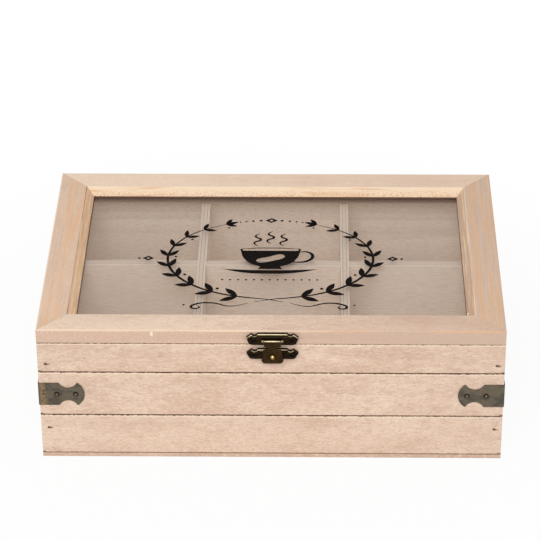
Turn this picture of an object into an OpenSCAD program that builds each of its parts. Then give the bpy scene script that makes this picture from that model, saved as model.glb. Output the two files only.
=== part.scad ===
// Wooden tea bag box: six compartments under a hinged lid with a glass window.
// Slatted walls pinned at the corners, thin metal corner straps, two butt hinges at the back
// and a small drop-tongue latch at the front. Sizes are millimetres.
// The origin is the middle of the underside. X runs to the right, Y to the back and Z up.

/* [Box] */
// Outside width, left to right
box_w = 240; // [200:1:320]
// Outside depth, front to back
box_d = 162; // [130:1:220]
// Height of the open box, up to the lid seam
body_h = 71; // [64:0.5:100]
// Thickness of the wall slats
wall = 7; // [6.5:0.5:10]
// Thickness of the bottom board
bottom_t = 2.2; // [2:0.1:4]
// Height of the bottom slats
bottom_slat_h = 24.2; // [20:0.1:28]
// Height of the middle slats
middle_slat_h = 26.6; // [22:0.1:30]
// Bevel along the long outer edges of each slat
slat_bevel = 0.6; // [0.3:0.1:1]

/* [Dividers] */
// Thickness of the divider boards
divider_t = 4.5; // [3:0.5:6]
// Gap between the divider tops and the lid seam
divider_gap = 1.3; // [0.5:0.1:5]
// Play in the slots where the dividers cross
lap_play = 0.2; // [0.1:0.05:0.4]

/* [Lid] */
// Height of the lid frame
lid_h = 8; // [7.5:0.5:12]
// Width of the lid rails
rail_w = 19; // [17:0.5:26]
// Bevel round the window, wide and deep
window_bevel = 4; // [2:0.5:4.5]
// Soft edge along the top outside of the lid
lid_ease = 0.4; // [0.2:0.1:0.8]
// Gap in each mitred corner
mitre_gap = 0.1; // [0.05:0.05:0.3]
// Thickness of the glass
glass_t = 1.8; // [1.5:0.1:2.2]
// Play of the glass in its groove
glass_play = 0.2; // [0.1:0.1:0.4]
// Depth of the glass groove in the rails
groove_depth = 3; // [2:0.5:4]
// Lip of wood under the glass
glass_lip = 1; // [0.8:0.1:1.4]

/* [Nails] */
// Radius of the nail shanks
nail_r = 0.6; // [0.4:0.05:0.7]
// Radius of the nail heads
nail_head_r = 0.8; // [0.75:0.05:1.2]
// Thickness of the nail heads
nail_head_t = 0.6; // [0.4:0.1:0.8]
// How deep the nail heads are set below the wood
nail_set = 0.3; // [0.1:0.05:0.6]
// Length of the wall nails
wall_nail_len = 16; // [13:0.5:20]
// Distance of the wall nails from the sides of the box
wall_nail_inset = 4; // [3:0.5:5]
// How far the wall nails lie from the middle of their slat
nail_shift = 4; // [3:0.5:5]
// Length of the bottom nails
bottom_nail_len = 10; // [8:0.5:14]
// Distance between neighbouring bottom nails
bottom_nail_pitch = 60; // [40:1:60]
// Length of the nails through the lid mitres
lid_nail_len = 14; // [11:0.5:18]
// Distance of the lid nails from the front and back faces
lid_nail_inset = 6; // [4:0.5:8]

/* [Corner straps] */
// Reach of each strap leg from the corner
strap_leg = 23.5; // [22:0.5:30]
// Height of the straps
strap_h = 13.6; // [11:0.2:18]
// Thickness of the strap sheet
strap_t = 0.5; // [0.4:0.05:1]
// Distance from the corner to the waist
strap_band = 10.3; // [10.2:0.1:12]
// Distance from the corner to the tips of the tail
strap_tail = 19.9; // [19:0.1:20.5]
// Height left at the waist
strap_waist = 7.6; // [6:0.2:9]
// Distance from the corner to the near pins
strap_pin_near = 9; // [8.8:0.1:9.2]
// Distance from the corner to the far pins
strap_pin_far = 18.9; // [17:0.1:20]
// Radius of the strap pin shanks
strap_pin_r = 0.7; // [0.5:0.05:0.8]
// Radius of the countersinks for the strap pins
strap_sink_r = 1.4; // [1.2:0.05:1.6]
// How deep the rim of a strap pin lies in its countersink
strap_pin_set = 0.25; // [0.15:0.05:0.3]
// Height of the domed heads of the strap pins
strap_pin_dome = 0.2; // [0.1:0.05:0.3]
// Length of the strap pins
strap_pin_len = 5.5; // [4:0.5:6]

/* [Screws] */
// Radius of the screw shanks
screw_r = 0.9; // [0.7:0.05:1.1]
// Radius of the screw heads
screw_head_r = 1.8; // [1.5:0.05:2]
// Height of the domed screw heads
screw_head_h = 0.7; // [0.5:0.1:0.9]
// Length of the screws under the head
screw_len = 5.6; // [4.5:0.1:6]
// Depth of the cross in the screw heads
screw_cross_depth = 0.4; // [0.2:0.1:0.5]

/* [Hinges] */
// Distance from the side of the box to the middle of a hinge
hinge_inset = 45; // [35:1:70]
// Width of the hinges
hinge_w = 25; // [22:0.5:32]
// Height of a hinge leaf
hinge_leaf_h = 7.2; // [6.8:0.1:7.3]
// Thickness of the hinge leaves
hinge_t = 0.8; // [0.6:0.1:1]
// Radius of the hinge barrel
barrel_r = 1.6; // [1.4:0.05:1.8]
// Gap between the barrel and the wood
barrel_gap = 0.1; // [0.05:0.05:0.3]
// Radius of the hinge pins
hinge_pin_r = 0.75; // [0.6:0.05:0.9]
// Gap between neighbouring knuckles
knuckle_gap = 0.2; // [0.1:0.05:0.4]
// Distance between the two screws of a leaf
hinge_screw_pitch = 15; // [10:0.5:16]

/* [Latch] */
// The latch sits this far right of the middle
latch_x = 0.9; // [-10:0.1:10]
// Width of the latch plates, tip to tip
latch_w = 26.6; // [26:0.1:30]
// Thickness of the latch plates
latch_t = 2; // [1.6:0.1:2.2]
// Height of the plate on the lid
lid_plate_h = 6.6; // [6.2:0.1:6.8]
// Height of the keeper plate on the box
keeper_h = 5.8; // [5.4:0.1:6.4]
// Gap between the lid plate and the seam
lid_plate_rise = 0.5; // [0.2:0.1:0.7]
// Distance from the seam to the top of the keeper plate
keeper_drop = 2.2; // [1.8:0.1:2.6]
// Half width of the straight top edge between the ears
plate_shoulder = 7.6; // [7:0.1:8]
// Width of the hollow in each ear
ear_hollow_w = 3.2; // [2.8:0.1:3.4]
// Depth of the hollow in each ear
ear_hollow_depth = 1.1; // [0.8:0.1:1.2]
// Distance from the top edge down to the ear tips
ear_tip_drop = 2.3; // [1.8:0.1:2.6]
// Distance from the middle of a latch plate to each screw
latch_screw_reach = 9.9; // [9.6:0.1:10.2]
// How far the screws lie below the middle of a latch plate
ear_drop = 0.5; // [0:0.1:0.6]
// How far the latch pin lies below the middle of the lid plate
pin_drop = 1.2; // [1:0.1:1.3]
// Radius of the latch pin
latch_pin_r = 0.5; // [0.4:0.05:0.6]
// Radius of the tongue's rolled end
roll_r = 1.15; // [1:0.05:1.3]
// Gap above the rolled end in its window
window_rise = 0.85; // [0.7:0.05:1]
// Radius of the lugs that hold the pin
lug_r = 1.4; // [1:0.05:1.5]
// Length of each lug
lug_len = 1.15; // [0.8:0.05:1.5]
// Height of the domed ends of the latch pin
pin_dome = 0.2; // [0.1:0.05:0.3]
// Thickness of the tongue
tongue_t = 0.8; // [0.6:0.05:0.8]
// Gap between the tongue and the plates
tongue_gap = 0.1; // [0.05:0.05:0.2]
// Gap beside the rolled end in its window
window_gap = 0.2; // [0.1:0.05:0.4]
// Width of the tongue at its rolled end
tongue_top_w = 8.5; // [8:0.1:9]
// Width of the tongue's neck
tongue_neck_w = 4.4; // [3.6:0.1:5]
// Width of the tongue below the neck
tongue_shoulder_w = 8.8; // [8:0.1:9.2]
// Greatest width of the tongue
tongue_w = 11.2; // [10.6:0.1:12]
// Length of the tongue below the pin
tongue_len = 12.7; // [12:0.1:13.4]
// Radius of the tongue's lower corners
tongue_corner_r = 2; // [1:0.1:2.2]
// Radius of the notches beside the neck
notch_r = 0.6; // [0.5:0.05:0.7]
// Distance from the pin down to the notches
notch_drop = 3.2; // [3:0.1:3.4]
// Distance from the pin down to the stud
stud_drop = 8.7; // [8.5:0.1:9]
// Radius of the stud's ball
ball_r = 1.35; // [1:0.05:1.5]
// Radius of the stud's shank
stud_r = 0.75; // [0.5:0.05:0.8]
// How far the ball stands clear of the closed tongue
ball_stand = 1.2; // [0.8:0.1:1.4]
// Gap between the ball and the hole in the tongue
ball_gap = 0.3; // [0.2:0.05:0.5]

/* [Hidden] */
$fn = 48;
cut = 1; // overrun of a cutting shape past a face
fit = 0.05; // radial play round a shank, nail or running pin
snug = 0.02; // radial play round a pin that is held fast

inner_w = box_w - 2 * wall;
inner_d = box_d - 2 * wall;
slat_heights = [
  bottom_slat_h,
  middle_slat_h,
  body_h - bottom_t - bottom_slat_h - middle_slat_h
];
slat_floors = [
  bottom_t,
  bottom_t + bottom_slat_h,
  bottom_t + bottom_slat_h + middle_slat_h
];
// the nails keep clear of the strap pins, which cross the middle slats halfway up
slat_nail_z = [
  slat_floors[0] + slat_heights[0] / 2 + nail_shift,
  slat_floors[1] + slat_heights[1] / 2 + nail_shift,
  slat_floors[2] + slat_heights[2] / 2 - nail_shift
];

divider_h = body_h - bottom_t - divider_gap;
bay_w = (inner_w - 2 * divider_t) / 3;
cross_x = (bay_w + divider_t) / 2;

strap_z = slat_floors[1] + slat_heights[1] / 2;
tip_land = 0.3; // straight stretch between the waist and the tail
waist_depth = (strap_h - strap_waist) / 2;
waist_chord = strap_tail - tip_land - strap_band;
waist_r = (waist_chord * waist_chord / 4 + waist_depth * waist_depth) / (2 * waist_depth);
tail_reach = strap_leg - strap_tail;
tail_r = (strap_h * strap_h / 4 + tail_reach * tail_reach) / (2 * tail_reach);
strap_sink_slope = (strap_sink_r - strap_pin_r) / strap_t;

axis_reach = barrel_r + barrel_gap;
knuckles = 5;
knuckle_w = hinge_w / knuckles;
relief_h = barrel_r + 0.2;

lid_plate_z = body_h + lid_plate_rise + lid_plate_h / 2;
keeper_z = body_h - keeper_drop - keeper_h / 2;
ear_hollow_r = (ear_hollow_w * ear_hollow_w / 4 + ear_hollow_depth * ear_hollow_depth)
  / (2 * ear_hollow_depth);
pin_z = lid_plate_z - pin_drop;
tongue_back = latch_t + tongue_gap;
pin_reach = tongue_back + tongue_t - roll_r; // the rolled end lies flush with the tongue's front
pin_half = tongue_top_w / 2 + window_gap + lug_len;
ball_reach = tongue_back + tongue_t + ball_stand - ball_r;
stud_z = pin_z - stud_drop;
stud_depth = 2; // how deep the stud's shank sits in the wood

wood = [0.89, 0.77, 0.68];
plywood = [0.74, 0.66, 0.59];
pewter = [0.41, 0.37, 0.31];
bronze = [0.22, 0.17, 0.10];
brass = [0.75, 0.63, 0.38];
steel = [0.62, 0.60, 0.57];
glass = [0.85, 0.92, 0.92, 0.35];

// Points of an arc round a centre, from one angle to another
function arc(centre, r, from, to, steps = 8) = [
  for (i = [0 : steps])
    let (a = from + (to - from) * i / steps)
    centre + r * [cos(a), sin(a)]
];

// A right-hand outline from the top middle to the bottom middle, completed by its mirror image
function both_sides(half) = concat(
  half,
  [for (i = [len(half) - 1 : -1 : 0]) [-half[i][0], half[i][1]]]
);

// Radius of the sphere that a dome of this rim and height is cut from
function dome_radius(rim_r, height) = (rim_r * rim_r + height * height) / (2 * height);

// A shape turned about Z, given as [radius, height] points
module turned(profile) {
  rotate_extrude() polygon(profile);
}

// ---- Fasteners, each standing on Z with its head up and its seat at zero ----

module nail(length) {
  translate([0, 0, -nail_set])
    turned([
      [0, 0], [nail_head_r, 0], [nail_head_r, -nail_head_t], [nail_r, -nail_head_t],
      [nail_r, nail_r * 2 - length], [0, -length]
    ]);
}

module nail_hole(length) {
  step = nail_set + nail_head_t + fit;
  depth = nail_set + length + fit;
  turned([
    [0, cut], [nail_head_r + fit, cut], [nail_head_r + fit, -step], [nail_r + fit, -step],
    [nail_r + fit, -depth], [0, -depth]
  ]);
}

// A strap pin: its head is a cone that fills the bottom of the countersink, under a low dome
module strap_pin() {
  rim_r = strap_sink_r - strap_sink_slope * strap_pin_set;
  dome_r = dome_radius(rim_r, strap_pin_dome);
  turned(concat(
    [[0, -strap_pin_len], [strap_pin_r, 2 * strap_pin_r - strap_pin_len], [strap_pin_r, -strap_t]],
    arc([0, strap_pin_dome - strap_pin_set - dome_r], dome_r, acos(rim_r / dome_r), 90, 4)
  ));
}

module strap_pin_hole() {
  translate([0, 0, -strap_pin_len - fit])
    cylinder(r = strap_pin_r + fit, h = strap_pin_len + cut);
}

// The countersunk hole that the strap has for a pin
module strap_pin_sink() {
  turned([
    [0, cut], [strap_sink_r + fit + strap_sink_slope * cut, cut],
    [strap_pin_r + fit, -strap_t], [strap_pin_r + fit, -strap_t - cut], [0, -strap_t - cut]
  ]);
}

module screw() {
  dome_r = dome_radius(screw_head_r, screw_head_h);
  edge = acos(screw_head_r / dome_r);
  difference() {
    turned(concat(
      [[0, -screw_len], [screw_r, 2 * screw_r - screw_len], [screw_r, 0]],
      arc([0, screw_head_h - dome_r], dome_r, edge, 90)
    ));
    for (turn = [45, 135])
      rotate(turn)
        translate([-screw_head_r * 0.6, -0.2, screw_head_h - screw_cross_depth])
          cube([screw_head_r * 1.2, 0.4, screw_cross_depth + cut]);
  }
}

module screw_hole() {
  translate([0, 0, -screw_len - fit])
    cylinder(r = screw_r + fit, h = screw_len + fit + cut);
}

// ---- Where the fasteners go: each places its children with Z pointing out of the wood ----

module wall_nail_places(slat) {
  for (side = [-1, 1], end = [-1, 1])
    translate([side * (box_w / 2 - wall_nail_inset), end * box_d / 2, slat_nail_z[slat]])
      rotate([-90 * end, 0, 0])
        children();
}

module bottom_nail_places() {
  for (end = [-1, 1], i = [-1.5 : 1.5])
    translate([i * bottom_nail_pitch, end * (box_d - wall) / 2, 0])
      rotate([180, 0, 0])
        children();
  for (side = [-1, 1], i = [-0.5, 0.5])
    translate([side * (box_w - wall) / 2, i * bottom_nail_pitch, 0])
      rotate([180, 0, 0])
        children();
}

module lid_nail_places() {
  for (side = [-1, 1], end = [-1, 1])
    translate([side * box_w / 2, end * (box_d / 2 - lid_nail_inset), body_h + lid_h / 2])
      rotate([0, 90 * side, 0])
        children();
}

// One corner of the box, turned so that the wood fills the quarter where X and Y are positive
module at_corner(side, end) {
  translate([side * box_w / 2, end * box_d / 2, strap_z])
    mirror([side > 0 ? 1 : 0, 0, 0])
      mirror([0, end > 0 ? 1 : 0, 0])
        children();
}

// Both legs of a strap: the children are drawn along X and again along Y
module both_legs() {
  children();
  mirror([1, -1, 0]) children();
}

module strap_pin_places() {
  for (side = [-1, 1], end = [-1, 1])
    at_corner(side, end)
      both_legs()
        for (reach = [strap_pin_near, strap_pin_far])
          translate([reach, -strap_t, 0])
            rotate([90, 0, 0])
              children();
}

// The latch's plane: X right, Y up and Z out of the front face, at a height
module at_front(z) {
  translate([latch_x, -box_d / 2, z])
    rotate([90, 0, 0])
      children();
}

module latch_screw_places(z) {
  at_front(z)
    for (side = [-1, 1])
      translate([side * latch_screw_reach, -ear_drop, latch_t])
        children();
}

// A hinge's plane: Y up and Z out of the back face, at the seam
module at_hinge(side) {
  translate([side * (box_w / 2 - hinge_inset), box_d / 2, body_h])
    rotate([90, 0, 180])
      children();
}

module hinge_screw_places(up) {
  for (side = [-1, 1])
    at_hinge(side)
      for (i = [-0.5, 0.5])
        translate([i * hinge_screw_pitch, up * (hinge_leaf_h + relief_h) / 2, hinge_t])
          children();
}

// ---- Walls and bottom ----

// A slat's cross-section: outer face at zero, inwards along X, with both outer edges bevelled
module slat_section(height) {
  polygon([
    [slat_bevel, 0], [wall, 0], [wall, height], [slat_bevel, height],
    [0, height - slat_bevel], [0, slat_bevel]
  ]);
}

// A slat lying along the front wall, centred on X
module slat_board(length, height) {
  rotate([90, 0, 90])
    translate([0, 0, -length / 2])
      linear_extrude(length)
        slat_section(height);
}

module end_slat(end, slat) {
  color(wood)
    difference() {
      translate([0, end * box_d / 2, slat_floors[slat]])
        mirror([0, end > 0 ? 1 : 0, 0])
          slat_board(box_w, slat_heights[slat]);
      wall_nail_places(slat) nail_hole(wall_nail_len);
      if (slat == 0) bottom_nail_places() nail_hole(bottom_nail_len);
      if (slat == 1) strap_pin_places() strap_pin_hole();
      if (slat == 2 && end < 0) {
        latch_screw_places(keeper_z) screw_hole();
        stud_hole();
      }
      if (slat == 2 && end > 0) hinge_screw_places(-1) screw_hole();
    }
}

module side_slat(side, slat) {
  color(wood)
    difference() {
      translate([side * box_w / 2, 0, slat_floors[slat]])
        rotate([0, 0, side > 0 ? 90 : -90])
          slat_board(inner_d, slat_heights[slat]);
      wall_nail_places(slat) nail_hole(wall_nail_len);
      if (slat == 0) bottom_nail_places() nail_hole(bottom_nail_len);
      if (slat == 1) strap_pin_places() strap_pin_hole();
    }
}

module front_slat_bottom() { end_slat(-1, 0); }
module front_slat_middle() { end_slat(-1, 1); }
module front_slat_top() { end_slat(-1, 2); }
module back_slat_bottom() { end_slat(1, 0); }
module back_slat_middle() { end_slat(1, 1); }
module back_slat_top() { end_slat(1, 2); }
module left_slat_bottom() { side_slat(-1, 0); }
module left_slat_middle() { side_slat(-1, 1); }
module left_slat_top() { side_slat(-1, 2); }
module right_slat_bottom() { side_slat(1, 0); }
module right_slat_middle() { side_slat(1, 1); }
module right_slat_top() { side_slat(1, 2); }

module bottom_board() {
  color(wood)
    difference() {
      translate([-box_w / 2, -box_d / 2, 0])
        cube([box_w, box_d, bottom_t]);
      bottom_nail_places() nail_hole(bottom_nail_len);
    }
}

module wall_nails() {
  color(steel)
    for (slat = [0 : 2])
      wall_nail_places(slat) nail(wall_nail_len);
}

module bottom_nails() {
  color(steel)
    bottom_nail_places() nail(bottom_nail_len);
}

// ---- Dividers: slotted into each other halfway up ----

module divider_board(length) {
  translate([-length / 2, -divider_t / 2, bottom_t])
    cube([length, divider_t, divider_h]);
}

// The slot for a crossing divider, in the upper or the lower half
module lap_slot(upper) {
  slot_w = divider_t + lap_play;
  translate([-slot_w / 2, -slot_w / 2, bottom_t + (upper ? divider_h / 2 : -cut)])
    cube([slot_w, slot_w, divider_h / 2 + cut]);
}

module long_divider() {
  color(plywood)
    difference() {
      divider_board(inner_w);
      for (side = [-1, 1])
        translate([side * cross_x, 0, 0])
          lap_slot(true);
    }
}

module cross_divider(side) {
  color(plywood)
    translate([side * cross_x, 0, 0])
      difference() {
        rotate(90) divider_board(inner_d);
        lap_slot(false);
      }
}

module cross_divider_left() { cross_divider(-1); }
module cross_divider_right() { cross_divider(1); }

// ---- Corner straps ----

// The bent strip seen from above, with a round outer corner
module strap_bend() {
  polygon(concat(
    [[strap_leg, 0], [strap_leg, -strap_t]],
    arc([0, 0], strap_t, -90, -180),
    [[-strap_t, strap_leg], [0, strap_leg], [0, 0]]
  ));
}

// What is cut from one leg: two round hollows for the waist and the corners of the bowed tail
module strap_leg_cuts() {
  for (v = [-1, 1])
    translate([(strap_band + strap_tail - tip_land) / 2, cut, v * (strap_waist / 2 + waist_r)])
      rotate([90, 0, 0])
        cylinder(r = waist_r, h = strap_t + 2 * cut);
  translate([0, cut, 0])
    rotate([90, 0, 0])
      linear_extrude(strap_t + 2 * cut)
        difference() {
          translate([strap_tail, -strap_h / 2 - cut])
            square([tail_reach + cut, strap_h + 2 * cut]);
          translate([strap_leg - tail_r, 0]) circle(tail_r);
        }
  for (reach = [strap_pin_near, strap_pin_far])
    translate([reach, -strap_t, 0])
      rotate([90, 0, 0])
        strap_pin_sink();
}

module corner_strap(side, end) {
  color(pewter)
    at_corner(side, end)
      difference() {
        translate([0, 0, -strap_h / 2])
          linear_extrude(strap_h)
            strap_bend();
        both_legs() strap_leg_cuts();
      }
}

module corner_strap_front_left() { corner_strap(-1, -1); }
module corner_strap_front_right() { corner_strap(1, -1); }
module corner_strap_back_left() { corner_strap(-1, 1); }
module corner_strap_back_right() { corner_strap(1, 1); }

module strap_pins() {
  color(steel)
    strap_pin_places() strap_pin();
}

// ---- Lid frame and glass ----

// A rail's cross-section: outer face at zero, inwards along X, with the glass groove
module rail_section() {
  groove_floor = glass_lip;
  groove_roof = glass_lip + glass_t + glass_play;
  polygon([
    [0, 0], [rail_w, 0], [rail_w, groove_floor], [rail_w - groove_depth, groove_floor],
    [rail_w - groove_depth, groove_roof], [rail_w, groove_roof],
    [rail_w, lid_h - window_bevel], [rail_w - window_bevel, lid_h],
    [lid_ease, lid_h], [0, lid_h - lid_ease]
  ]);
}

// A mitred rail lying along the front, centred on X with its outer face at Y zero
module rail_board(length) {
  reach = 2 * rail_w;
  short = mitre_gap / sqrt(2);
  difference() {
    rotate([90, 0, 90])
      translate([0, 0, -length / 2])
        linear_extrude(length)
          rail_section();
    for (side = [-1, 1])
      translate([side * length / 2, 0, -cut])
        linear_extrude(lid_h + 2 * cut)
          polygon([
            [side * (cut - short), -cut], [side * 2 * cut, -cut],
            [side * 2 * cut, reach], [-side * (reach + short), reach]
          ]);
  }
}

module end_rail(end) {
  color(wood)
    difference() {
      translate([0, end * box_d / 2, body_h])
        mirror([0, end > 0 ? 1 : 0, 0])
          rail_board(box_w);
      lid_nail_places() nail_hole(lid_nail_len);
      if (end < 0) latch_screw_places(lid_plate_z) screw_hole();
      if (end > 0) hinge_screw_places(1) screw_hole();
    }
}

module side_rail(side) {
  color(wood)
    difference() {
      translate([side * box_w / 2, 0, body_h])
        rotate([0, 0, side > 0 ? 90 : -90])
          rail_board(box_d);
      lid_nail_places() nail_hole(lid_nail_len);
    }
}

module lid_rail_front() { end_rail(-1); }
module lid_rail_back() { end_rail(1); }
module lid_rail_left() { side_rail(-1); }
module lid_rail_right() { side_rail(1); }

module lid_nails() {
  color(steel)
    lid_nail_places() nail(lid_nail_len);
}

module glass_pane() {
  inset = rail_w - groove_depth + glass_play;
  color(glass)
    translate([-box_w / 2 + inset, -box_d / 2 + inset, body_h + glass_lip])
      cube([box_w - 2 * inset, box_d - 2 * inset, glass_t]);
}

// ---- Hinges: even knuckles belong to the box leaf, odd ones to the lid leaf ----

function knuckle_start(i) = -hinge_w / 2 + i * knuckle_w;

module hinge_leaf(side, up, own_knuckles, other_knuckles, bore_r) {
  corner_r = 1;
  color(bronze)
    at_hinge(side)
      mirror([0, up < 0 ? 1 : 0, 0])
        difference() {
          union() {
            linear_extrude(hinge_t)
              polygon(both_sides(concat(
                arc([hinge_w / 2 - corner_r, hinge_leaf_h - corner_r], corner_r, 90, 0, 4),
                [[hinge_w / 2, 0]]
              )));
            for (i = own_knuckles)
              translate([knuckle_start(i) + knuckle_gap / 2, 0, axis_reach])
                rotate([0, 90, 0])
                  cylinder(r = barrel_r, h = knuckle_w - knuckle_gap);
          }
          for (i = other_knuckles)
            translate([knuckle_start(i) - (i == 0 ? cut : 0), -cut, -cut])
              cube([
                knuckle_w + (i == 0 || i == knuckles - 1 ? cut : 0),
                relief_h + cut,
                hinge_t + 2 * cut
              ]);
          translate([-hinge_w / 2 - cut, 0, axis_reach])
            rotate([0, 90, 0])
              cylinder(r = bore_r, h = hinge_w + 2 * cut);
          for (i = [-0.5, 0.5])
            translate([i * hinge_screw_pitch, (hinge_leaf_h + relief_h) / 2, hinge_t])
              screw_hole();
        }
}

module hinge_box_leaf(side) {
  hinge_leaf(side, -1, [0, 2, 4], [1, 3], hinge_pin_r + snug);
}

module hinge_lid_leaf(side) {
  hinge_leaf(side, 1, [1, 3], [0, 2, 4], hinge_pin_r + fit);
}

module hinge_box_leaf_left() { hinge_box_leaf(-1); }
module hinge_box_leaf_right() { hinge_box_leaf(1); }
module hinge_lid_leaf_left() { hinge_lid_leaf(-1); }
module hinge_lid_leaf_right() { hinge_lid_leaf(1); }

module hinge_pin(side) {
  dome = 0.3;
  color(bronze)
    at_hinge(side)
      translate([0, 0, axis_reach])
        rotate([0, 90, 0])
          turned([
            [0, -hinge_w / 2 - dome], [hinge_pin_r / 2, -hinge_w / 2 - dome],
            [hinge_pin_r, -hinge_w / 2], [hinge_pin_r, hinge_w / 2],
            [hinge_pin_r / 2, hinge_w / 2 + dome], [0, hinge_w / 2 + dome]
          ]);
}

module hinge_pin_left() { hinge_pin(-1); }
module hinge_pin_right() { hinge_pin(1); }

module hinge_box_screws() {
  color(bronze)
    hinge_screw_places(-1) screw();
}

module hinge_lid_screws() {
  color(bronze)
    hinge_screw_places(1) screw();
}

// ---- Latch ----

// A latch plate: straight in the middle, with a hollow, a cusp, a tip and a round lobe at each ear
module plate_outline(height) {
  half_h = height / 2;
  rise = ear_hollow_r - ear_hollow_depth;
  start = 180 + asin(rise / ear_hollow_r);
  polygon(both_sides(concat(
    arc([plate_shoulder + ear_hollow_w / 2, half_h + rise], ear_hollow_r, start, 330),
    [[latch_w / 2, half_h - ear_tip_drop]],
    arc([latch_screw_reach, -ear_drop], half_h - ear_drop, -20, -90)
  )));
}

module latch_keeper_plate() {
  color(bronze)
    difference() {
      at_front(keeper_z)
        linear_extrude(latch_t)
          plate_outline(keeper_h);
      latch_screw_places(keeper_z) screw_hole();
      at_front(stud_z)
        translate([0, 0, -cut])
          cylinder(r = stud_r + snug, h = latch_t + 2 * cut);
    }
}

module stud_hole() {
  at_front(stud_z)
    translate([0, 0, -stud_depth - fit])
      cylinder(r = stud_r + fit, h = stud_depth + cut);
}

// The stud: a shank in the wood and a ball, cut off level where it seats on the keeper plate
module latch_stud() {
  seat = asin(min(1, (ball_reach - latch_t) / ball_r));
  neck = acos(stud_r / ball_r);
  color(brass)
    at_front(stud_z)
      turned(concat(
        [[0, -stud_depth], [stud_r, -stud_depth], [stud_r, latch_t]],
        arc([0, ball_reach], ball_r, -min(seat, neck), 90, 12)
      ));
}

module latch_keeper_screws() {
  color(bronze)
    latch_screw_places(keeper_z) screw();
}

module latch_lid_plate() {
  window_w = tongue_top_w + 2 * window_gap;
  color(bronze)
    difference() {
      union() {
        at_front(lid_plate_z)
          linear_extrude(latch_t)
            plate_outline(lid_plate_h);
        at_front(pin_z)
          for (side = [-1, 1])
            translate([side * (window_w + lug_len) / 2, 0, pin_reach])
              rotate([0, 90, 0])
                cylinder(r = lug_r, h = lug_len, center = true);
      }
      at_front(pin_z) {
        translate([-window_w / 2, -lid_plate_h, -cut])
          cube([window_w, lid_plate_h + roll_r + window_rise, latch_t + 2 * cut]);
        translate([0, 0, pin_reach])
          rotate([0, 90, 0])
            cylinder(r = latch_pin_r + snug, h = 2 * (pin_half + pin_dome + fit), center = true);
      }
      latch_screw_places(lid_plate_z) screw_hole();
    }
}

module latch_pin() {
  color(brass)
    at_front(pin_z)
      translate([0, 0, pin_reach])
        rotate([0, 90, 0])
          turned([
            [0, -pin_half - pin_dome], [latch_pin_r / 2, -pin_half - pin_dome],
            [latch_pin_r, -pin_half], [latch_pin_r, pin_half],
            [latch_pin_r / 2, pin_half + pin_dome], [0, pin_half + pin_dome]
          ]);
}

module latch_lid_screws() {
  color(bronze)
    latch_screw_places(lid_plate_z) screw();
}

// The tongue's outline below the pin: block, notched neck, then a blade that widens downwards
module tongue_outline() {
  notch_x = tongue_neck_w / 2 + notch_r;
  corner_x = tongue_w / 2 - tongue_corner_r;
  corner_y = tongue_corner_r - tongue_len;
  shoulder_y = -notch_drop - notch_r;
  flare = atan((tongue_w - tongue_shoulder_w) / 2 / (tongue_len - tongue_corner_r + shoulder_y));
  polygon(both_sides(concat(
    [[tongue_top_w / 2, 0], [tongue_top_w / 2, notch_r - notch_drop]],
    arc([notch_x, -notch_drop], notch_r, 90, 270),
    [[tongue_shoulder_w / 2, shoulder_y]],
    arc([corner_x, corner_y], tongue_corner_r, flare, -90)
  )));
}

module latch_tongue() {
  color(bronze)
    at_front(pin_z)
      difference() {
        union() {
          translate([0, 0, tongue_back])
            linear_extrude(tongue_t)
              tongue_outline();
          translate([0, 0, pin_reach])
            rotate([0, 90, 0])
              cylinder(r = roll_r, h = tongue_top_w, center = true);
        }
        translate([0, 0, pin_reach])
          rotate([0, 90, 0])
            cylinder(r = latch_pin_r + fit, h = tongue_top_w + 2 * cut, center = true);
        translate([0, -stud_drop, tongue_back - cut])
          cylinder(r = ball_r + ball_gap, h = tongue_t + 2 * cut);
      }
}

bottom_board();
front_slat_bottom();
front_slat_middle();
front_slat_top();
back_slat_bottom();
back_slat_middle();
back_slat_top();
left_slat_bottom();
left_slat_middle();
left_slat_top();
right_slat_bottom();
right_slat_middle();
right_slat_top();
long_divider();
cross_divider_left();
cross_divider_right();
wall_nails();
bottom_nails();
corner_strap_front_left();
corner_strap_front_right();
corner_strap_back_left();
corner_strap_back_right();
strap_pins();
latch_keeper_plate();
latch_stud();
latch_keeper_screws();
hinge_box_leaf_left();
hinge_box_leaf_right();
hinge_box_screws();
hinge_pin_left();
hinge_pin_right();
lid_rail_front();
lid_rail_back();
lid_rail_left();
lid_rail_right();
lid_nails();
glass_pane();
hinge_lid_leaf_left();
hinge_lid_leaf_right();
hinge_lid_screws();
latch_lid_plate();
latch_pin();
latch_lid_screws();
latch_tongue();
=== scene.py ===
"""Looks of a wooden tea bag box, built round its CAD frame.

The boards get their whitewashed grain, the fittings their worn metal and the window its print.
"""

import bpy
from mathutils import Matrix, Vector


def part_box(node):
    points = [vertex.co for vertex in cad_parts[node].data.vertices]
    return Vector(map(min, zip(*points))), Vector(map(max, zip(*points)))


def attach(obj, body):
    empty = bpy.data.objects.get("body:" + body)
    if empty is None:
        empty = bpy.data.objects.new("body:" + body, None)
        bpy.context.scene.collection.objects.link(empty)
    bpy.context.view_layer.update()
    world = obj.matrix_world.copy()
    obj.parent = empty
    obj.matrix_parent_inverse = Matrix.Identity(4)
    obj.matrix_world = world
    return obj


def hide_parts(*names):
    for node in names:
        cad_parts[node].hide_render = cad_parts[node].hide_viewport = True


bl_info = {
    "name": "Tea Bag Box",
    "version": (1, 0, 0),
    "blender": (4, 5, 0),
    "location": "View3D > Sidebar > Tea Box",
    "description": "Gives a slatted tea bag box its wood, metal, glass and printed ornament",
    "category": "Object",
}

from math import atan2, cos, pi, radians, sin

import bpy
from bpy.props import FloatProperty, FloatVectorProperty, PointerProperty
from mathutils import Euler, Matrix, Vector

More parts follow.
